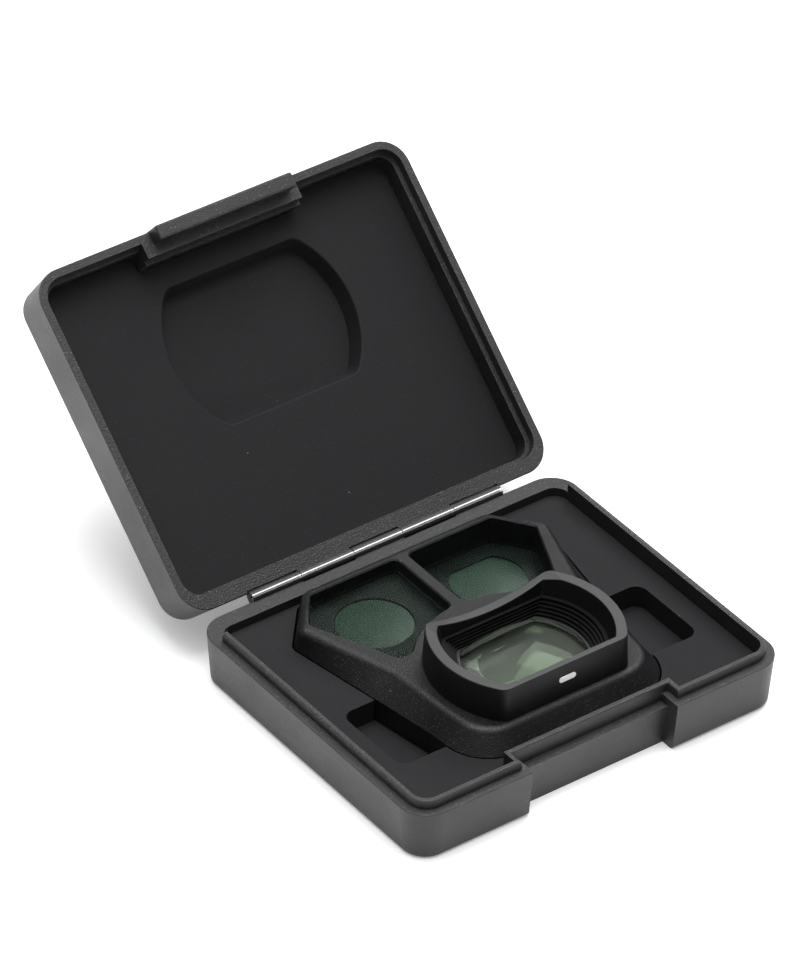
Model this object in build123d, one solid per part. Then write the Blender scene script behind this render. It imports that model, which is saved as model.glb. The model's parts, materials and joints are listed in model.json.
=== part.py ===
from build123d import *
import os
from math import cos, radians, sin

# ---------------------------------------------------------------- driving dimensions (mm)
# The origin is the middle of the case's underside. X runs along the hinge, Y from front to back.
case_width = 76.0
case_depth = 62.7
corner_radius = 5.2
wall_draft = 4.5
base_height = 9.7
lid_height = 9.9
floor_thickness = 1.6
lid_top_thickness = 0.7
edge_round = 1.0

lip_inset = 1.6
lip_thickness = 0.9
lip_height = 1.65
lip_end_y = 25.5
lip_round = 0.35
brink_round = 0.2
rebate_gap = 0.15
rebate_depth = 1.85
rim_gap = 0.04
lid_wall = 2.3
back_wall = 3.2

notch_half = 14.9
notch_depth = 2.7
shelf_depth = 4.4
notch_draft = 6.0
cheek = 1.2
lid_cheek = 1.0
tab_wall = 0.6
rebate_back = 2.6
tab_half = 14.1
tab_shift = 0.3
tab_drop = 3.0
tab_rise = 2.6
tab_depth = 2.45
tab_proud = 0.2
tab_round = 0.4

hinge_setback = 0.75
hinge_rise = 0.2
barrel_radius = 1.05
relief_radius = 1.35
pin_radius = 0.5
pin_bore = 0.55
pin_half = 25.6
open_angle = 138.4
sight_slot = 0.34
sight_angle = 136.5
base_knuckles = [(-26.0, -16.0), (-5.0, 5.0), (16.0, 26.0)]
lid_knuckles = [(-15.85, -5.15), (5.15, 15.85)]
knuckle_gap = 0.15
heel_reach = 0.9
heel_length = 0.8
heel_thickness = 0.4
heel_angle = 123.7
gusset_depth = 2.8
rim_clear = 0.3
gusset_back = 0.4
gusset_inset = 1.0
gusset_angle = 30.0

tray_floor = 8.1
recess_floor = 3.6
recess_gap = 0.35
liner_gap = 0.1
pocket_floor = 3.8
pocket_half_x = 30.9
pocket_shift = 0.3
pocket_front_y = -16.4
pocket_back_y = 0.1
pocket_radius = 2.2
liner_face = 5.3
pocket_clearance = 0.25
lid_pocket_low = (17.55, 11.6)
lid_pocket_rim = (18.4, 12.8)
lid_pocket_shift = (0.7, 0.15)
lid_pocket_corner = 2.6
liner_edge = 0.3

adapter_top = 11.9
axis_y = -9.3
waist_round = 12.0
shoulder_round = 1.6
foot_corner = 8.4
top_corner = 6.0
back_corner = 2.2
hood_top = 18.3
hood_radius = 16.65
hood_flat = 11.1
hood_dip = 2.2
hood_brink = 0.2
hood_inner_radius = 14.75
hood_inner_flat = 9.9
throat_radius = 13.9
throat_flat = 9.3
throat_z = 15.0
spigot_radius = 13.9
spigot_flat = 10.2
spigot_z = 6.4
seal_thickness = 0.8

window_top_y = 25.1
window_chamfer_y = 18.7
window_side_x = 23.6
window_chamfer_x = 18.9
window_low_x = 16.6
window_low_y = 2.9
rib_half = 1.1
window_arc_radius = 18.6
window_corner = 1.2
window_brink = 0.25
ledge = 1.0
pane_thickness = 0.8
mask_thickness = 0.5
pane_top_left = 9.7
pane_top_right = 7.2
disc_radius = 6.75
disc_x = 12.3
disc_y_left = 15.7
disc_y_right = 16.8

under_depth = 1.7
foot_wall = 1.4
spigot_gap = 0.05
disc_cut = 1.6
disc_curve = 76.0
disc_gap = 0.04
mask_gap = 0.03
seat_gap = 0.08
hood_corner = 2.2
hood_flare = 0.35
dip_half = 13.0
throat_floor = 12.4
baffle_z = 14.4
baffle_gap = 0.03
baffle_steps = 4
upper_stop_radius = 13.15
upper_stop_flat = 8.7
lower_stop_radius = 11.3
lower_stop_flat = 7.9
stack_gap = 0.02
glass_radius = 10.7
glass_flat = 7.5
dome_rise = 2.0
glass_gap = 0.1
spacer_thickness = 0.8
spacer_bore = (10.9, 7.9)
retainer_bore = (10.4, 7.6)
rear_hollow_radius = 24.0
hollow_depth = 0.9
front_glass_z = 11.8
middle_z = 10.1
rear_glass_z = 7.8
hollow_radius = 30.0
clip_x = 19.1
clip_front_y = -10.0
clip_length = 9.0
clip_leaf = 0.9
clip_lift = 0.2
hook_reach = 0.6
hook_margin = 1.0
hook_height = 0.5
mark_length = 3.4
mark_width = 1.0
mark_lean = -3.13
mark_height = 0.12
mark_z = 15.6
mark_sink = 0.2
barrel_inner = 12.4
barrel_inner_flat = 8.7

parting = base_height
front_y = -case_depth / 2
back_y = case_depth / 2
hinge_y = back_y + hinge_setback
hinge_z = parting + hinge_rise
hinge_axis = Axis((0, hinge_y, hinge_z), (1, 0, 0))

os.makedirs("parts", exist_ok=True)


# ---------------------------------------------------------------- helpers
def save(name, shape):
    """Write one node, and keep its name on the shape."""
    shape.label = name
    export_step(shape, "parts/" + name + ".step")


def block(x0, x1, y0, y1, z0, z1):
    """A box between two corners."""
    middle = Location(((x0 + x1) / 2, (y0 + y1) / 2, (z0 + z1) / 2))
    return middle * Box(x1 - x0, y1 - y0, z1 - z0)


def case_outline(inset, z, back_inset=None):
    """The case's rounded rectangle, set in from its edge, as a face at height z."""
    back = inset if back_inset is None else back_inset
    width = case_width - 2 * inset
    depth = case_depth - inset - back
    radius = max(corner_radius - inset, 0.8)
    return Location((0, (inset - back) / 2, z)) * RectangleRounded(width, depth, radius)


def along_x(radius, x0, x1):
    """A cylinder on the hinge line."""
    turned = Rotation(0, 90, 0) * Cylinder(radius, x1 - x0)
    return Location(((x0 + x1) / 2, hinge_y, hinge_z)) * turned


def side_profile(points, x0, x1):
    """A prism along X from points given as (y, z)."""
    face = make_face(Polyline([(x0, y, z) for y, z in points], close=True))
    return extrude(face, amount=x1 - x0, dir=(1, 0, 0))


def drum_face(radius, flat, z):
    """A disc cut off straight at the front and the back, about the lens axis."""
    disc = Circle(radius) & Rectangle(2 * radius, 2 * flat)
    return Location((0, axis_y, z)) * disc


def drum(radius, flat, z0, z1):
    """A straight drum of that outline."""
    return extrude(drum_face(radius, flat, z0), amount=z1 - z0)


def drum_cone(low, high):
    """A drum that tapers between two outlines, each (radius, flat, z)."""
    return loft([drum_face(*low), drum_face(*high)], ruled=True)


def mirrored(points):
    """A closed outline from its left half, given from back to front."""
    return points + [(-x, y) for x, y in reversed(points)]


def polygon(points, z):
    """A face from plan points."""
    return Location((0, 0, z)) * make_face(Polyline(points, close=True))


# ---------------------------------------------------------------- base shell
def notch_plan(half, depth, z0, z1):
    """The block of space that the front notch takes."""
    return block(-half, half, front_y - 2, front_y + depth, z0, z1)


def sight_cut(angle, x0, x1):
    """The narrow slot in a knuckle through which the pin shows."""
    slot = Location((0, 1.0, 0)) * Box(x1 - x0, 2.0, sight_slot)
    turned = Rotation(angle, 0, 0) * slot
    return Location(((x0 + x1) / 2, hinge_y, hinge_z)) * turned


def knuckle(x0, x1, up):
    """A hinge barrel with the gusset that ties it to its wall."""
    touch_y = hinge_y + barrel_radius * cos(radians(gusset_angle))
    touch_z = hinge_z + up * barrel_radius * sin(radians(gusset_angle))
    tip_z = parting + up * gusset_depth
    gusset = side_profile(
        [
            (back_y - gusset_inset, parting + up * rim_clear),
            (hinge_y, hinge_z),
            (touch_y, touch_z),
            (back_y - gusset_back, tip_z),
            (back_y - gusset_inset, tip_z),
        ],
        x0,
        x1,
    )
    return along_x(barrel_radius, x0, x1) + gusset


base_outer = extrude(case_outline(0, parting), amount=-base_height, taper=wall_draft)
base_outer = fillet(base_outer.faces().sort_by(Axis.Z)[0].edges(), edge_round)
base_outer = fillet(base_outer.faces().sort_by(Axis.Z)[-1].edges(), brink_round)
lip_ring = extrude(case_outline(lip_inset, parting), amount=lip_height)
lip_ring -= notch_plan(notch_half + cheek, shelf_depth, parting, parting + lip_height)
lip_top = lip_ring.faces().sort_by(Axis.Z)[-1].outer_wire().edges()
lip_ring = fillet(lip_top, lip_round)
lip_ring -= block(-50, 50, lip_end_y, 50, parting, parting + 3)
bay_inset = lip_inset + lip_thickness
bay = extrude(case_outline(bay_inset, floor_thickness, back_wall), amount=20)
bay -= notch_plan(notch_half + cheek + lip_thickness, shelf_depth + lip_thickness, 0, 30)
notch_low = Location((0, front_y + notch_depth, tray_floor)) * (
    Rotation(notch_draft, 0, 0) * (Location((0, -4, 0)) * Box(2 * notch_half, 8, 24))
)
base_shell = base_outer + lip_ring - bay - notch_low
base_shell -= notch_plan(notch_half, shelf_depth, tray_floor, parting + 3)
for x0, x1 in lid_knuckles:
    base_shell -= along_x(relief_radius, x0 - knuckle_gap, x1 + knuckle_gap)
for x0, x1 in base_knuckles:
    base_shell += knuckle(x0, x1, -1)
    base_shell -= sight_cut(sight_angle, x0 - 1, x1 + 1)
base_shell -= along_x(pin_bore, -pin_half - 0.2, pin_half + 0.2)
save("base_shell", base_shell)

save("hinge_pin", along_x(pin_radius, -pin_half, pin_half))

# ---------------------------------------------------------------- adapter outlines
foot_half = [(-19.4, 27.3), (-26.7, 18.8), (-23.6, 1.0), (-21.4, -12.5), (-20.3, -24.2)]
top_half = [(-18.9, 27.0), (-25.9, 18.8), (-19.6, 1.0), (-18.7, -12.5), (-17.6, -21.5)]


def adapter_outline(points, z, grow=0.0, corner=foot_corner):
    """The adapter's plan at height z, with its corners rounded."""
    face = polygon(mirrored(points), z)
    front = face.vertices().group_by(Axis.Y)[0]
    face = fillet(front, corner)
    back = [v for v in face.vertices() if v.Y > 15]
    face = fillet(back, back_corner)
    waist = [v for v in face.vertices() if -13 < v.Y < 2]
    face = fillet(waist, waist_round)
    return offset(face, grow) if grow else face


foot_face = adapter_outline(foot_half, recess_floor)
skirt_low = extrude(foot_face, amount=tray_floor - recess_floor)
skirt_high = loft(
    [adapter_outline(foot_half, tray_floor), adapter_outline(top_half, adapter_top, corner=top_corner)],
    ruled=True,
)

# ---------------------------------------------------------------- tray insert
tray = extrude(case_outline(bay_inset + liner_gap, floor_thickness, back_wall + liner_gap),
               amount=tray_floor - floor_thickness)
tray_cut = lip_thickness + liner_gap
tray -= notch_plan(notch_half + cheek + tray_cut, shelf_depth + tray_cut, 0, 30)
tray -= extrude(adapter_outline(foot_half, recess_floor, recess_gap), amount=10)
pocket_mid = (pocket_front_y + pocket_back_y) / 2
pocket_long = pocket_back_y - pocket_front_y
pocket_plan = Location((pocket_shift, pocket_mid, pocket_floor)) * RectangleRounded(
    2 * pocket_half_x, pocket_long, pocket_radius
)
tray -= extrude(pocket_plan, amount=10)
save("tray_insert", tray)

# ---------------------------------------------------------------- lid, built closed and then opened
def opened(shape):
    """Turn a piece of the lid from closed to its open rest."""
    return shape.rotate(hinge_axis, -open_angle)


def pocket_face(size, z):
    """The outline of the pocket that takes the hood, with rounded corners."""
    face = drum_face(*size, z)
    return fillet(face.vertices(), lid_pocket_corner)


lid_outer = extrude(case_outline(0, parting + rim_gap), amount=lid_height - rim_gap, taper=wall_draft)
lid_outer = fillet(lid_outer.faces().sort_by(Axis.Z)[-1].edges(), edge_round)
lid_outer = fillet(lid_outer.faces().sort_by(Axis.Z)[0].edges(), brink_round)
rebate = extrude(case_outline(lip_inset - rebate_gap, parting, rebate_back), amount=rebate_depth)
rebate -= notch_plan(notch_half + lid_cheek, shelf_depth - rebate_gap, parting, parting + 3)
lid_bay = extrude(case_outline(lid_wall, parting, back_wall), amount=lid_height - lid_top_thickness)
lid_bay -= notch_plan(notch_half + lid_cheek, shelf_depth + tab_wall, parting, parting + 30)
tab_left = tab_shift - tab_half
tab_right = tab_shift + tab_half
tab = block(tab_left, tab_right, front_y - tab_proud, front_y + tab_depth,
            parting - tab_drop, parting + tab_rise)
tab = fillet(tab.edges().filter_by(Axis.X).sort_by(Axis.Z)[:2], tab_round)
tab = fillet(tab.edges().filter_by(Axis.Z), tab_round)
lid_shell = lid_outer + tab - rebate - lid_bay
for x0, x1 in base_knuckles:
    lid_shell -= along_x(relief_radius, x0 - knuckle_gap, x1 + knuckle_gap)
for x0, x1 in lid_knuckles:
    lid_shell += knuckle(x0, x1, 1)
    heel = Location((0, heel_reach, 0)) * Box(x1 - x0, heel_length, heel_thickness)
    turned = Rotation(open_angle - heel_angle, 0, 0) * heel
    lid_shell += Location(((x0 + x1) / 2, hinge_y, hinge_z)) * turned
    lid_shell -= sight_cut(sight_angle + open_angle, x0 - 1, x1 + 1)
    lid_shell -= along_x(pin_bore, x0 - 0.01, x1 + 0.01)
save("lid_shell", opened(lid_shell))

liner = extrude(case_outline(lid_wall + liner_gap, parting + liner_face, back_wall + liner_gap),
                amount=lid_height - lid_top_thickness - liner_face)
liner -= notch_plan(notch_half + lid_cheek + liner_gap, shelf_depth + tab_wall + liner_gap, 0, 60)
pocket = loft([pocket_face(lid_pocket_rim, parting + liner_face),
               pocket_face(lid_pocket_low, hood_top + pocket_clearance)], ruled=True)
liner -= Location((*lid_pocket_shift, 0)) * pocket
liner_rim = [e for e in liner.edges() if abs(e.center().Z - parting - liner_face) < 0.01
             and abs(e.center().X) < 20 and abs(e.center().Y - axis_y) < 14]
liner = fillet(liner_rim, liner_edge)
save("lid_liner", opened(liner))


# ---------------------------------------------------------------- adapter frame
def window_plan(side, z, inset=0.0):
    """One of the two windows in the frame, side -1 on the left and 1 on the right."""
    points = [
        (side * rib_half, window_top_y),
        (side * window_chamfer_x, window_top_y),
        (side * window_side_x, window_chamfer_y),
        (side * window_low_x, window_low_y),
        (side * rib_half, window_low_y),
    ]
    face = polygon(points, z) - Location((0, axis_y, z)) * Circle(window_arc_radius)
    face = fillet(face.vertices(), window_corner)
    return offset(face, -inset) if inset else face


frame = skirt_low + skirt_high
frame = fillet(frame.faces().sort_by(Axis.Z)[-1].edges(), shoulder_round)
under = extrude(adapter_outline(foot_half, recess_floor, -foot_wall), amount=under_depth)
frame -= under
throat_seat = drum(spigot_radius + spigot_gap, spigot_flat + spigot_gap, recess_floor, adapter_top + 5)
frame -= throat_seat
for side, pane_top in ((-1, pane_top_left), (1, pane_top_right)):
    frame -= extrude(window_plan(side, pane_top - pane_thickness - mask_thickness), amount=12)
    frame -= extrude(window_plan(side, recess_floor, ledge), amount=12)
    brink_low = window_plan(side, adapter_top - window_brink)
    frame -= loft([brink_low, window_plan(side, adapter_top, -window_brink)], ruled=True)
save("adapter_frame", frame)

windows = ((-1, "left", pane_top_left, disc_y_left), (1, "right", pane_top_right, disc_y_right))
for side, name, pane_top, disc_y in windows:
    pane_low = pane_top - pane_thickness
    mask_low = pane_low - mask_thickness
    opening = Location((side * disc_x, disc_y, mask_low)) * Circle(disc_radius)
    if side > 0:
        opening &= Location((side * disc_x, disc_y - disc_cut, mask_low)) * Rectangle(30, 2 * disc_radius)
    mask = extrude(window_plan(side, mask_low, seat_gap) - opening, amount=mask_thickness - mask_gap)
    save("window_mask_" + name, mask)
    disc = extrude(offset(opening, -disc_gap), amount=mask_thickness - mask_gap)
    cap_z = mask_low + mask_thickness - 2 * mask_gap - disc_curve
    disc &= Location((side * disc_x, disc_y, cap_z)) * Sphere(disc_curve)
    save("coated_disc_" + name, disc)
    save("window_pane_" + name, extrude(window_plan(side, pane_low, 0.05), amount=pane_thickness))

# ---------------------------------------------------------------- hood and lens stack
hood_foot = (hood_radius + hood_flare, hood_flat + hood_flare, adapter_top)
hood = drum_cone(hood_foot, (hood_radius, hood_flat, hood_top))
corner_edges = [e for e in hood.edges() if e.length > 4 and e.bounding_box().size.Z > 5]
hood = fillet(corner_edges, hood_corner)
hood += drum(spigot_radius, spigot_flat, spigot_z, adapter_top)
hood -= drum_cone((throat_radius, throat_flat, throat_z), (hood_inner_radius, hood_inner_flat, hood_top))
hood -= drum(throat_radius, throat_flat, throat_floor, throat_z)
hood -= drum(barrel_inner, barrel_inner_flat, spigot_z, throat_floor + 0.1)
dip_radius = (dip_half ** 2 + hood_dip ** 2) / (2 * hood_dip)
dip = Rotation(90, 0, 0) * Cylinder(dip_radius, 8)
dip = Location((0, axis_y + hood_flat - 0.2, hood_top - hood_dip + dip_radius)) * dip
hood -= dip
hood = fillet([e for e in hood.edges() if e.bounding_box().min.Z > hood_top - hood_dip - 0.05], hood_brink)
save("hood", hood)

upper = drum(throat_radius - baffle_gap, throat_flat - baffle_gap, baffle_z, throat_z)
upper -= drum(upper_stop_radius, upper_stop_flat, baffle_z - 1, throat_z + 1)
save("baffle_upper", upper)

lower = drum(throat_radius - baffle_gap, throat_flat - baffle_gap, throat_floor, baffle_z)
step_height = (baffle_z - throat_floor) / baffle_steps
for step in range(baffle_steps):
    share = step / baffle_steps
    step_radius = lower_stop_radius + share * (upper_stop_radius - lower_stop_radius)
    step_flat = lower_stop_flat + share * (upper_stop_flat - lower_stop_flat)
    lower -= drum(step_radius, step_flat, throat_floor + step * step_height, baffle_z)
lower -= drum(lower_stop_radius, lower_stop_flat, throat_floor - 1, baffle_z)
save("baffle_lower", lower)


def stack_ring(low, high, radius, flat):
    """A ring of the lens stack, open to the given outline."""
    ring = drum(barrel_inner - stack_gap, barrel_inner_flat - stack_gap, low, high)
    return ring - drum(radius, flat, low - 1, high + 1)


retainer = stack_ring(front_glass_z, throat_floor, glass_radius + glass_gap, glass_flat + glass_gap)
save("lens_retainer", retainer)

dome_radius = (glass_radius ** 2 + dome_rise ** 2) / (2 * dome_rise)
dome = Location((0, axis_y, throat_floor + dome_rise - dome_radius)) * Sphere(dome_radius)
front_glass = dome & drum(glass_radius, glass_flat, front_glass_z - 1, throat_floor + 4)
front_glass += drum(barrel_inner - stack_gap, barrel_inner_flat - stack_gap, middle_z, front_glass_z)
hollow = Location((0, axis_y, middle_z - hollow_radius + hollow_depth)) * Sphere(hollow_radius)
front_glass -= hollow
save("front_element", front_glass)

spacer_z = middle_z - spacer_thickness
save("lens_spacer", stack_ring(spacer_z, middle_z, *spacer_bore))

rear_glass = drum(barrel_inner - stack_gap, barrel_inner_flat - stack_gap, rear_glass_z, spacer_z)
rear_hollow_z = rear_glass_z - rear_hollow_radius + hollow_depth
rear_glass -= Location((0, axis_y, rear_hollow_z)) * Sphere(rear_hollow_radius)
save("rear_element", rear_glass)

save("rear_retainer", stack_ring(rear_glass_z - spacer_thickness, rear_glass_z, *retainer_bore))

seal = drum(spigot_radius, spigot_flat, spigot_z - seal_thickness, spigot_z)
seal -= drum(barrel_inner, barrel_inner_flat, spigot_z - 1, spigot_z + 1)
save("rear_seal", seal)

# ---------------------------------------------------------------- clips and index mark
def side_hook(x, y):
    """The inward tooth of a clip, on the right side."""
    return block(x - hook_reach, x, y + hook_margin, y + clip_length - hook_margin,
                 clip_foot, clip_foot + hook_height)


clip_top = recess_floor + under_depth
clip_foot = recess_floor + clip_lift
for side, name in ((-1, "left"), (1, "right")):
    leaf = block(clip_x, clip_x + clip_leaf, clip_front_y, clip_front_y + clip_length, clip_foot, clip_top)
    leaf += side_hook(clip_x, clip_front_y)
    if side < 0:
        leaf = mirror(leaf, Plane.YZ)
    save("clip_" + name, leaf)

mark_face = Location((0, axis_y - hood_flat - mark_sink, mark_z)) * (
    Rotation(90 + mark_lean, 0, 0) * SlotOverall(mark_length, mark_width)
)
save("index_mark", extrude(mark_face, amount=mark_height))
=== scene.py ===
import json
import math

import bpy
from mathutils import Matrix, Vector


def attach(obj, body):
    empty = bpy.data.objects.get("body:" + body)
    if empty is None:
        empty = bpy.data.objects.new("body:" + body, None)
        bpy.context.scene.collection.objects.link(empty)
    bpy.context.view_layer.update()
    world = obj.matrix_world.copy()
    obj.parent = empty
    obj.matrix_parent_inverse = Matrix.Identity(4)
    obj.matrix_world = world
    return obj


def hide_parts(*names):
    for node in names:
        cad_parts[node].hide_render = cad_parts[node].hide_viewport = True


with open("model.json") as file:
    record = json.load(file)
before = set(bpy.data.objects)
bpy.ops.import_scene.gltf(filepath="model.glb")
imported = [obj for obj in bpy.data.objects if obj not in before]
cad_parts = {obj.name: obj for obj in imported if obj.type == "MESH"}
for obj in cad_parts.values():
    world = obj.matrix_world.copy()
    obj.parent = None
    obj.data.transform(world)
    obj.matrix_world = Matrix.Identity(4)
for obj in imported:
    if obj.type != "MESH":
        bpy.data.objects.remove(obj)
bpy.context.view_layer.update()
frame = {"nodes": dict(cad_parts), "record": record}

# ---------------------------------------------------------------- stage
FLOOR_TONE = (0.93, 0.93, 0.935)
FLOOR_GLOW = 0.25
HORIZON_LIGHT = 0.14
ZENITH_LIGHT = 1.7
LIGHT_HEIGHTS = (0.56, 0.95)
EYE = Vector((-0.64271, -0.81513, 0.82391))
AIM = Vector((0.48474, 0.63432, -0.60222))
ROLL = math.radians(1.59)
LENS = 293.3

# name, position, width, depth, watts
SOFTBOXES = (
    ("right_box", (0.66, 0.32, 0.76), 0.70, 0.50, 4.0),
    ("overhead_box", (0.05, 0.10, 1.40), 0.90, 0.90, 16.0),
)

# ---------------------------------------------------------------- finishes
CASE_BLACK = (0.017, 0.017, 0.018)
LINER_BLACK = (0.0105, 0.0105, 0.0118)
FRAME_BLACK = (0.0095, 0.0095, 0.0106)
HOOD_BLACK = (0.0056, 0.0056, 0.0062)
MASK_BLACK = (0.0025, 0.0035, 0.0032)
COATING_GREEN = (0.0095, 0.0170, 0.0128)
# painted reflection: diffuse grey of the rear lens element, standing in for the reflections inside the lens
REAR_LENS_REFLECTION_GREY = (0.021, 0.020, 0.018)
GLASS_TINT = (0.93, 0.99, 0.95)
RUBBER_BLACK = (0.014, 0.014, 0.015)
# pale grey for edges brightened by wear and by painted highlight, and for painted sheen on tops
WEAR_AND_SHEEN_GREY = (0.16, 0.16, 0.165)
DUST_GREY = (0.34, 0.335, 0.32)
# painted highlight: colour of the bright glint line along the hinge barrels
PAINTED_GLINT_WHITE = (0.95, 0.95, 0.95)


# ---------------------------------------------------------------- curved glass, in millimetres
# name, centre x and y, radius, cut-off front and back, apex height, top curve, underside height, hollow curve
CURVED_GLASS = (
    ("coated_disc_left", (-12.3, 15.7), 6.71, (-6.71, 6.71), 8.84, 76.0, 8.4, None, "coated_glass"),
    ("coated_disc_right", (12.3, 16.8), 6.71, (-6.71, 5.11), 6.34, 76.0, 5.9, None, "coated_glass"),
    ("front_element", (0.0, -9.3), 10.7, (-7.5, 7.5), 14.4, 29.622, 10.1,
     (30.0, 0.9), "lens_glass"),
)
# axis, middle, half width and soft edge of the painted glint line along the hinge, in metres
HINGE_GLINT_PLACE = ((0, 0.0, 0.0315, 0.0006), (1, 0.03151, 0.00011, 0.00004), (2, 0.0107, 0.0005, 0.0001))
RING_POINTS = 160
RINGS = 28
BRINK = 0.05
SHARP_ANGLE = math.radians(35)
MILLIMETRE = 0.001


# ---------------------------------------------------------------- node helpers
def put(tree, kind, sockets=None, **settings):
    """Add a node to a tree, set its properties, and set or link its input sockets."""
    made = tree.nodes.new(kind)
    for name, value in settings.items():
        setattr(made, name, value)
    for name, value in (sockets or {}).items():
        if isinstance(value, bpy.types.NodeSocket):
            tree.links.new(value, made.inputs[name])
        else:
            made.inputs[name].default_value = value
    return made


def math_of(tree, operation, first, second=0.0, third=0.5, clamp=False):
    """One Math node's result."""
    sockets = {0: first, 1: second, 2: third}
    return put(tree, "ShaderNodeMath", sockets, operation=operation, use_clamp=clamp).outputs[0]


def blend_of(tree, share, below, above):
    """Two colours mixed by a share from 0 to 1."""
    made = put(tree, "ShaderNodeMix", {0: share}, data_type="RGBA")
    for index, value in ((6, below), (7, above)):
        if isinstance(value, bpy.types.NodeSocket):
            tree.links.new(value, made.inputs[index])
        else:
            made.inputs[index].default_value = (*value, 1.0)
    return made.outputs[2]


def span_of(tree, value, low, high, out_low=0.0, out_high=1.0):
    """A value stretched from one range to another, held at the ends."""
    sockets = {"Value": value, "From Min": low, "From Max": high, "To Min": out_low, "To Max": out_high}
    return put(tree, "ShaderNodeMapRange", sockets).outputs[0]


def upward(tree):
    """How far a face looks up, from -1 to 1."""
    normal = put(tree, "ShaderNodeNewGeometry").outputs["Normal"]
    return put(tree, "ShaderNodeSeparateXYZ", {0: normal}).outputs[2]


def new_group(name, inputs, outputs):
    """An empty shader group. Returns its tree, its input values and its output sockets."""
    tree = bpy.data.node_groups.new(name, "ShaderNodeTree")
    for label, kind, start in inputs:
        socket = tree.interface.new_socket(label, in_out="INPUT", socket_type=kind)
        if start is not None:
            socket.default_value = start
    for label in outputs:
        tree.interface.new_socket(label, in_out="OUTPUT", socket_type="NodeSocketFloat")
    return tree, tree.nodes.new("NodeGroupInput").outputs, tree.nodes.new("NodeGroupOutput").inputs


FLOAT, VECTOR = "NodeSocketFloat", "NodeSocketVector"


def make_grain():
    """Moulded grain: fine pits, broad tone and the odd bright fleck, partly grain and partly painted glint.
    """
    tree, given, out = new_group(
        "moulded_grain",
        [
            ("Place", VECTOR, None),
            ("Cell", FLOAT, 0.0003),
            ("Fleck Share", FLOAT, 0.05),
            ("Side Share", FLOAT, 0.4),
        ],
        ["Height", "Tone", "Fleck", "Lying"],
    )
    up = upward(tree)
    # Pits and flecks are weaker on faces that do not look up. Since the pit height also sets the body colour,
    # those faces come out darker: painted shade by facing.
    lying = span_of(tree, up, 0.1, 0.6, given["Side Share"], 1.0)
    scale = math_of(tree, "DIVIDE", 1.0, given["Cell"])
    pitted = {"Vector": given["Place"], "Scale": scale, "Detail": 2.0, "Roughness": 0.6}
    fine = put(tree, "ShaderNodeTexNoise", pitted)
    broad_scale = math_of(tree, "MULTIPLY", scale, 0.03)
    broad = put(tree, "ShaderNodeTexNoise", {"Vector": given["Place"], "Scale": broad_scale, "Detail": 4.0})
    cell_scale = math_of(tree, "MULTIPLY", scale, 0.7)
    cells = put(tree, "ShaderNodeTexVoronoi", {"Vector": given["Place"], "Scale": cell_scale})
    chance = put(tree, "ShaderNodeSeparateColor", {"Color": cells.outputs["Color"]}).outputs[0]
    picked = math_of(tree, "LESS_THAN", chance, given["Fleck Share"])
    round_fleck_and_glint = span_of(tree, cells.outputs["Distance"], 0.15, 0.45, 1.0, 0.0)
    tree.links.new(math_of(tree, "MULTIPLY", fine.outputs[0], lying), out["Height"])
    tree.links.new(span_of(tree, broad.outputs[0], 0.3, 0.7), out["Tone"])
    tree.links.new(span_of(tree, up, 0.7, 0.95), out["Lying"])
    fleck_and_glint = math_of(tree, "MULTIPLY", picked, round_fleck_and_glint)
    tree.links.new(math_of(tree, "MULTIPLY", fleck_and_glint, lying), out["Fleck"])
    return tree


def make_edge_rub_and_sheen():
    """Edges made brighter, partly by handling wear and partly as a painted edge highlight, broken up by
    noise.
    """
    tree, given, out = new_group(
        "edge_rub_and_painted_sheen",
        [("Place", VECTOR, None), ("Width", FLOAT, 0.0003), ("Breakup", FLOAT, 900.0)],
        ["Mask"],
    )
    softened = put(tree, "ShaderNodeBevel", {"Radius": given["Width"]}, samples=4)
    flat = put(tree, "ShaderNodeNewGeometry")
    normals = {0: softened.outputs[0], 1: flat.outputs["Normal"]}
    facing = put(tree, "ShaderNodeVectorMath", normals, operation="DOT_PRODUCT")
    turned = span_of(tree, facing.outputs["Value"], 0.985, 0.80)
    patchy = {"Vector": given["Place"], "Scale": given["Breakup"], "Detail": 3.0}
    patches = put(tree, "ShaderNodeTexNoise", patchy)
    broken = span_of(tree, patches.outputs[0], 0.35, 0.65)
    tree.links.new(math_of(tree, "MULTIPLY", turned, broken, clamp=True), out["Mask"])
    return tree


def make_dust():
    """Settled dust on faces that look up, as tiny separate specks."""
    tree, given, out = new_group(
        "settled_dust",
        [("Place", VECTOR, None), ("Speck", FLOAT, 0.0012), ("Share", FLOAT, 0.03)],
        ["Mask"],
    )
    scale = math_of(tree, "DIVIDE", 1.0, given["Speck"])
    cells = put(tree, "ShaderNodeTexVoronoi", {"Vector": given["Place"], "Scale": scale})
    chance = put(tree, "ShaderNodeSeparateColor", {"Color": cells.outputs["Color"]}).outputs[1]
    picked = math_of(tree, "LESS_THAN", chance, given["Share"])
    speck = span_of(tree, cells.outputs["Distance"], 0.06, 0.14, 1.0, 0.0)
    up = upward(tree)
    lying = span_of(tree, up, 0.4, 0.8)
    tree.links.new(math_of(tree, "MULTIPLY", math_of(tree, "MULTIPLY", picked, speck), lying), out["Mask"])
    return tree


def make_scuff():
    """Fine hairline scuffs that run one way."""
    tree, given, out = new_group(
        "hairline_scuff",
        [("Place", VECTOR, None), ("Pitch", FLOAT, 0.0004), ("Stretch", VECTOR, (1.0, 0.05, 1.0))],
        ["Mask"],
    )
    sides = {0: given["Place"], 1: given["Stretch"]}
    stretched = put(tree, "ShaderNodeVectorMath", sides, operation="MULTIPLY")
    scale = math_of(tree, "DIVIDE", 1.0, given["Pitch"])
    drawn = {"Vector": stretched.outputs[0], "Scale": scale, "Detail": 3.0, "Roughness": 0.7}
    lines = put(tree, "ShaderNodeTexNoise", drawn)
    tree.links.new(span_of(tree, lines.outputs[0], 0.45, 0.72), out["Mask"])
    return tree


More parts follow.
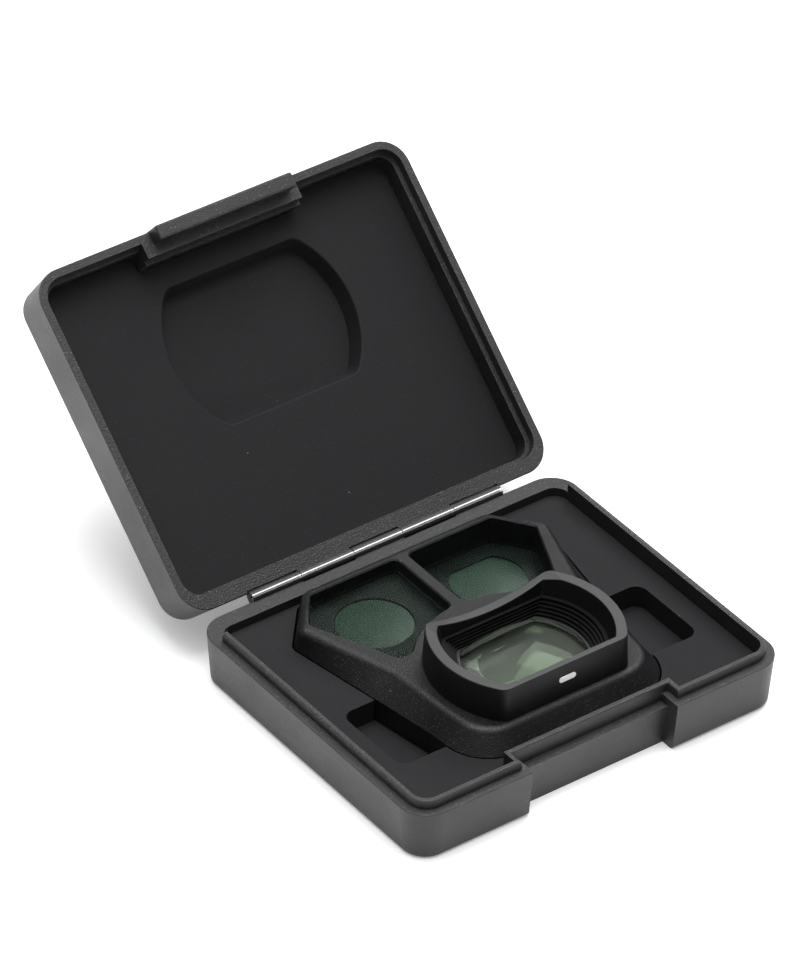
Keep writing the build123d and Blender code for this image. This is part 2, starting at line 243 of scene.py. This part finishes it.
def make_hinge_glint():
    """A painted highlight: a thin bright line along the top of the hinge barrels that stands in for a glint.
    """
    tree, given, out = new_group("painted_hinge_glint", [("Place", VECTOR, None)], ["Mask"])
    place = put(tree, "ShaderNodeSeparateXYZ", {0: given["Place"]}).outputs
    mask = None
    for axis, middle, half, soft in HINGE_GLINT_PLACE:
        away = math_of(tree, "ABSOLUTE", math_of(tree, "SUBTRACT", place[axis], middle))
        inside = span_of(tree, away, half, half + soft, 1.0, 0.0)
        mask = inside if mask is None else math_of(tree, "MULTIPLY", mask, inside)
    tree.links.new(mask, out["Mask"])
    return tree


GRAIN, EDGE_RUB_AND_SHEEN, DUST, SCUFF = make_grain(), make_edge_rub_and_sheen(), make_dust(), make_scuff()
HINGE_GLINT = make_hinge_glint()


def use(tree, group, place, **values):
    """Place a group in a material with its own values."""
    made = put(tree, "ShaderNodeGroup", node_tree=group)
    tree.links.new(place, made.inputs["Place"])
    for name, value in values.items():
        made.inputs[name.replace("_", " ")].default_value = value
    return made.outputs


def start_material(name):
    """An empty material with its own object coordinates, a Principled shader and an output."""
    material = bpy.data.materials.new(name)
    material.use_nodes = True
    tree = material.node_tree
    tree.nodes.clear()
    place = put(tree, "ShaderNodeTexCoord").outputs["Object"]
    shader = put(tree, "ShaderNodeBsdfPrincipled")
    end = put(tree, "ShaderNodeOutputMaterial", {"Surface": shader.outputs[0]})
    return material, tree, place, shader, end


def tinted(colour, factor):
    """A colour made lighter or darker."""
    return tuple(min(1.0, part * factor) for part in colour)


def moulded(
    name, colour, rough, cell, pit,
    fleck_and_glint=0.0, tone=0.18, rub_and_sheen=0.3, specular=0.5, dust=0.02, fleck_and_glint_share=0.05, top_sheen=0.0, hinge=False,
):
    """Moulded plastic: grained, slightly mottled, rubbed at its edges, with a painted highlight on its edges
    and painted sheen on faces that look up.
    """
    material, tree, place, shader, _ = start_material(name)
    grain = use(tree, GRAIN, place, Cell=cell, Fleck_Share=fleck_and_glint_share)
    edge = use(tree, EDGE_RUB_AND_SHEEN, place)["Mask"]
    specks = use(tree, DUST, place, Share=dust)["Mask"]
    scuffs = use(tree, SCUFF, place)["Mask"]
    # the body colour follows the pit height, which is lower on faces that do not look up: painted shade on
    # sides
    shade = math_of(tree, "MULTIPLY_ADD", grain["Height"], 0.7, math_of(tree, "MULTIPLY", grain["Tone"], 0.3))
    body = blend_of(tree, shade, tinted(colour, 1 - 2 * tone), tinted(colour, 1 + 2 * tone))
    # bright flecks: partly grain, partly painted glints
    flecked_and_glinting = blend_of(tree, math_of(tree, "MULTIPLY", grain["Fleck"], fleck_and_glint), body, tinted(colour, 6.0))
    # painted sheen: faces that look up are lightened toward the pale grey
    top_sheen_share = math_of(tree, "MULTIPLY", grain["Lying"], top_sheen)
    # edges lightened partly by wear and partly by painted highlight, tops by painted sheen
    wear_and_sheen = math_of(tree, "MAXIMUM", math_of(tree, "MULTIPLY", edge, rub_and_sheen), top_sheen_share)
    rubbed_and_sheened = blend_of(tree, wear_and_sheen, flecked_and_glinting, WEAR_AND_SHEEN_GREY)
    dusty = blend_of(tree, math_of(tree, "MULTIPLY", specks, 0.5), rubbed_and_sheened, DUST_GREY)
    # painted highlight: a bright glint line along the hinge
    if hinge:
        line = use(tree, HINGE_GLINT, place)["Mask"]
        dusty = blend_of(tree, line, dusty, PAINTED_GLINT_WHITE)
    tree.links.new(dusty, shader.inputs["Base Color"])
    rough_low = span_of(tree, grain["Tone"], 0.0, 1.0, rough - 0.05, rough + 0.05)
    tree.links.new(math_of(tree, "MULTIPLY_ADD", scuffs, -0.05, rough_low), shader.inputs["Roughness"])
    shader.inputs["Specular IOR Level"].default_value = specular
    bump = put(tree, "ShaderNodeBump", {"Strength": pit, "Distance": cell, "Height": grain["Height"]})
    tree.links.new(bump.outputs[0], shader.inputs["Normal"])
    return material


def metal(name, colour, rough, stretch, pitch, metallic=1.0, rub_and_sheen=0.2):
    """Turned or drawn metal with fine lines along its working direction."""
    material, tree, place, shader, _ = start_material(name)
    lines = use(tree, SCUFF, place, Pitch=pitch, Stretch=stretch)["Mask"]
    edge = use(tree, EDGE_RUB_AND_SHEEN, place, Width=0.00015)["Mask"]
    streaked = blend_of(tree, lines, tinted(colour, 0.82), tinted(colour, 1.12))
    # edges lightened, partly by wear and partly by painted highlight
    rubbed_and_sheened = blend_of(tree, math_of(tree, "MULTIPLY", edge, rub_and_sheen), streaked, (0.6, 0.6, 0.61))
    tree.links.new(rubbed_and_sheened, shader.inputs["Base Color"])
    tree.links.new(span_of(tree, lines, 0.0, 1.0, rough, rough + 0.12), shader.inputs["Roughness"])
    shader.inputs["Metallic"].default_value = metallic
    bump = put(tree, "ShaderNodeBump", {"Strength": 0.15, "Distance": pitch * 0.1, "Height": lines})
    tree.links.new(bump.outputs[0], shader.inputs["Normal"])
    return material


def glass(name, tint, film, ior, rough, specks=0.01, haze=0.03):
    """Coated glass that lets the lamps through, with faint cleaning haze."""
    material, tree, place, shader, end = start_material(name)
    smeared = {"Vector": place, "Scale": 160.0, "Detail": 4.0, "Distortion": 0.6}
    smears = put(tree, "ShaderNodeTexNoise", smeared)
    dust = use(tree, DUST, place, Speck=0.0009, Share=specks)["Mask"]
    tree.links.new(blend_of(tree, dust, tint, DUST_GREY), shader.inputs["Base Color"])
    smear_rough = span_of(tree, smears.outputs[0], 0.45, 0.75, rough, rough + haze)
    dust_rough = math_of(tree, "MULTIPLY", dust, 0.4)
    tree.links.new(math_of(tree, "MAXIMUM", smear_rough, dust_rough), shader.inputs["Roughness"])
    shader.inputs["Transmission Weight"].default_value = 1.0
    shader.inputs["IOR"].default_value = ior
    shader.inputs["Specular Tint"].default_value = (*film, 1.0)
    clear = put(tree, "ShaderNodeBsdfTransparent", {"Color": (*tinted(tint, 0.9), 1.0)})
    shadow = put(tree, "ShaderNodeLightPath").outputs["Is Shadow Ray"]
    either = put(tree, "ShaderNodeMixShader", {0: shadow, 1: shader.outputs[0], 2: clear.outputs[0]})
    tree.links.new(either.outputs[0], end.inputs["Surface"])
    return material


def coated(name, colour, rough=0.20, coat=0.03, specular=0.12):
    """The dark coated lens seen behind a window, glossy and green."""
    material, tree, place, shader, _ = start_material(name)
    cloud = put(tree, "ShaderNodeTexNoise", {"Vector": place, "Scale": 90.0, "Detail": 2.0})
    share = span_of(tree, cloud.outputs[0], 0.3, 0.7)
    clouded = blend_of(tree, share, tinted(colour, 0.88), tinted(colour, 1.12))
    tree.links.new(clouded, shader.inputs["Base Color"])
    tree.links.new(span_of(tree, cloud.outputs[0], 0.3, 0.7, rough, rough + 0.05), shader.inputs["Roughness"])
    shader.inputs["Specular IOR Level"].default_value = specular
    shader.inputs["Coat Weight"].default_value = coat
    shader.inputs["Coat Roughness"].default_value = 0.05
    bump = put(tree, "ShaderNodeBump", {"Strength": 0.03, "Distance": 0.0002, "Height": cloud.outputs[0]})
    tree.links.new(bump.outputs[0], shader.inputs["Normal"])
    return material


FINISHES = {
    "case_plastic": moulded("satin_case_black", CASE_BLACK, 0.46, 0.00026, 0.55, fleck_and_glint=0.9, tone=0.22,
                            specular=0.50, fleck_and_glint_share=0.10, hinge=True),
    "liner": moulded("dull_liner_black", LINER_BLACK, 0.72, 0.00034, 0.25, fleck_and_glint=0.15, tone=0.12, rub_and_sheen=0.1,
                     specular=0.2, dust=0.004, fleck_and_glint_share=0.02),
    "frame_plastic": moulded("grained_frame_black", FRAME_BLACK, 0.34, 0.00022, 0.42, fleck_and_glint=0.8, tone=0.24,
                             rub_and_sheen=0.36, specular=0.30, fleck_and_glint_share=0.16),
    "hood_plastic": moulded("smooth_hood_black", HOOD_BLACK, 0.40, 0.00022, 0.10, fleck_and_glint=0.0, tone=0.08,
                            rub_and_sheen=0.50, specular=0.22, top_sheen=0.32),
    "mask_black": moulded("printed_mask_black", MASK_BLACK, 0.5, 0.0002, 0.05, tone=0.1, rub_and_sheen=0.0, dust=0.0,
                          specular=0.05),
    "seal_rubber": moulded("foam_seal_black", RUBBER_BLACK, 0.85, 0.0003, 0.6, tone=0.15, rub_and_sheen=0.0,
                           specular=0.3),
    "mark_white": moulded("white_print", (0.80, 0.80, 0.80), 0.5, 0.0002, 0.1, tone=0.05, rub_and_sheen=0.0),
    # the pin's near-white, mostly diffuse colour is a painted highlight for the bright line along the hinge
    "pin_steel": metal("pin_steel_painted_white_glint", (1.0, 1.0, 1.0), 0.45, (0.05, 1.0, 1.0), 0.0003, metallic=0.3),
    "clip_steel": metal("spring_steel", (0.52, 0.52, 0.54), 0.28, (1.0, 0.05, 1.0), 0.0003),
    "ring_metal": metal("black_anodised", (0.035, 0.035, 0.038), 0.34, (1.0, 1.0, 12.0), 0.0004,
                        metallic=0.4),
    "lens_glass": glass("coated_lens_glass", GLASS_TINT, (0.45, 0.80, 0.32), ior=1.29, rough=0.06),
    "pane_glass": glass("window_pane_glass", (0.90, 0.98, 0.93), (0.30, 0.37, 0.32), ior=1.12, rough=0.16),
    "coated_glass": coated("green_coated_glass", COATING_GREEN),
}


# ---------------------------------------------------------------- finishes onto the CAD nodes
BAFFLE_BLACK = moulded("light_trap_black", (0.0022, 0.0022, 0.0024), 0.55, 0.00022, 0.10, tone=0.08, rub_and_sheen=0.04,
                       specular=0.12, dust=0.0)
# painted reflection: a diffuse grey rear element stands in for the reflections off the glass inside the lens
REAR_LENS_PAINTED_REFLECTION = coated("inner_lens_painted_reflection_grey", REAR_LENS_REFLECTION_GREY, rough=0.3, coat=0.0, specular=0.2)
OWN_FINISHES = {"rear_element": REAR_LENS_PAINTED_REFLECTION, "baffle_upper": BAFFLE_BLACK, "baffle_lower": BAFFLE_BLACK}


def finish_nodes():
    """Give each CAD node the finish of its record slot, or its own where it has one."""
    slots = {entry["node"]: entry["material_slot"] for entry in frame["record"]["subparts"]}
    for name, piece in frame["nodes"].items():
        if not piece.material_slots:
            piece.data.materials.append(None)
        for slot in piece.material_slots:
            slot.link = "OBJECT"
            slot.material = OWN_FINISHES.get(name, FINISHES[slots[name]])


# ---------------------------------------------------------------- curved glass, ground smooth
def ground_heights(apex, curve, underside, hollow):
    """Two functions of the distance from the lens axis: the domed top and the flat or hollowed underside."""
    def top(reach):
        return apex - curve + math.sqrt(curve ** 2 - reach ** 2)

    def bottom(reach):
        if hollow is None:
            return underside
        sphere, depth = hollow
        return max(underside, underside + depth - sphere + math.sqrt(max(0.0, sphere ** 2 - reach ** 2)))

    return top, bottom


def ground_piece(name, centre, radius, cuts, apex, curve, underside, hollow, slot):
    """A round piece of glass cut off straight at its front and back, with a domed top and a broken edge."""
    top, bottom = ground_heights(apex, curve, underside, hollow)
    outline = []
    for step in range(RING_POINTS):
        angle = 2 * math.pi * step / RING_POINTS
        outline.append((radius * math.cos(angle), min(cuts[1], max(cuts[0], radius * math.sin(angle)))))
    shares = [step / RINGS for step in range(1, RINGS)]
    inset = 1 - BRINK / radius
    levels = [(share * inset, top, 0.0) for share in shares + [1.0]]
    levels += [(1.0, top, -BRINK), (1.0, bottom, BRINK)]
    levels += [(share * inset, bottom, 0.0) for share in [1.0] + shares[::-1]]
    points = [(*centre, top(0.0))]
    for share, height, shift in levels:
        for x, y in outline:
            reach = math.hypot(x, y) * share
            points.append((centre[0] + x * share, centre[1] + y * share, height(reach) + shift))
    points.append((*centre, bottom(0.0)))
    faces = []
    for step in range(RING_POINTS):
        after = (step + 1) % RING_POINTS
        faces.append((0, 1 + step, 1 + after))
        for level in range(len(levels) - 1):
            first, second = 1 + level * RING_POINTS, 1 + (level + 1) * RING_POINTS
            faces.append((first + step, second + step, second + after, first + after))
        last = 1 + (len(levels) - 1) * RING_POINTS
        faces.append((last + step, len(points) - 1, last + after))
    mesh = bpy.data.meshes.new(name + "_ground")
    mesh.from_pydata([tuple(MILLIMETRE * part for part in point) for point in points], [], faces)
    mesh.shade_smooth()
    mesh.set_sharp_from_angle(angle=SHARP_ANGLE)
    mesh.materials.append(FINISHES[slot])
    piece = bpy.data.objects.new(name + "_ground", mesh)
    bpy.context.scene.collection.objects.link(piece)
    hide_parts(name)
    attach(piece, "adapter")


# ---------------------------------------------------------------- stage, lights and camera
def make_floor():
    """A plain pale floor that runs out past the view."""
    side = 6.0
    mesh = bpy.data.meshes.new("floor")
    corners = [(-side, -side, 0), (side, -side, 0), (side, side, 0), (-side, side, 0)]
    mesh.from_pydata(corners, [], [(0, 1, 2, 3)])
    floor = bpy.data.objects.new("floor", mesh)
    bpy.context.scene.collection.objects.link(floor)
    material, tree, place, shader, _ = start_material("pale_floor")
    cloud = put(tree, "ShaderNodeTexNoise", {"Vector": place, "Scale": 30.0})
    mottled = blend_of(tree, cloud.outputs[0], tinted(FLOOR_TONE, 0.995), FLOOR_TONE)
    tree.links.new(mottled, shader.inputs["Base Color"])
    shader.inputs["Emission Color"].default_value = (1.0, 1.0, 1.0, 1.0)
    shader.inputs["Emission Strength"].default_value = FLOOR_GLOW
    shader.inputs["Roughness"].default_value = 0.7
    shader.inputs["Specular IOR Level"].default_value = 0.1
    mesh.materials.append(material)


def make_lights():
    """Soft area lights that face the middle of the case, and an even pale surround."""
    for name, place, width, depth, watts in SOFTBOXES:
        lamp = bpy.data.lights.new(name, "AREA")
        lamp.shape = "RECTANGLE"
        lamp.size, lamp.size_y, lamp.energy = width, depth, watts
        holder = bpy.data.objects.new(name, lamp)
        holder.location = place
        holder.rotation_euler = (-Vector(place)).to_track_quat("-Z", "Y").to_euler()
        bpy.context.scene.collection.objects.link(holder)
    world = bpy.data.worlds.new("surround")
    world.use_nodes = True
    background = world.node_tree.nodes["Background"]
    sky = world.node_tree
    direction = put(sky, "ShaderNodeTexCoord").outputs["Generated"]
    height = put(sky, "ShaderNodeSeparateXYZ", {0: direction}).outputs[2]
    background.inputs["Color"].default_value = (1.0, 1.0, 1.0, 1.0)
    brightness = span_of(sky, height, *LIGHT_HEIGHTS, HORIZON_LIGHT, ZENITH_LIGHT)
    sky.links.new(brightness, background.inputs["Strength"])
    bpy.context.scene.world = world
    bpy.context.scene.view_settings.view_transform = "Standard"


def make_camera():
    """The camera, slightly rolled, from the front left and above."""
    level = AIM.cross(Vector((0, 0, 1))).normalized()
    rise = level.cross(AIM)
    right = level * math.cos(ROLL) + rise * math.sin(ROLL)
    up = right.cross(AIM)
    turn = Matrix((right, up, -AIM)).transposed()
    camera = bpy.data.cameras.new("camera")
    camera.sensor_width, camera.lens = 36.0, LENS
    camera.clip_start, camera.clip_end = 0.05, 20.0
    holder = bpy.data.objects.new("camera", camera)
    holder.matrix_world = Matrix.Translation(EYE) @ turn.to_4x4()
    bpy.context.scene.collection.objects.link(holder)
    bpy.context.scene.camera = holder


finish_nodes()
for glass_row in CURVED_GLASS:
    ground_piece(*glass_row)
make_floor()
make_lights()
make_camera()
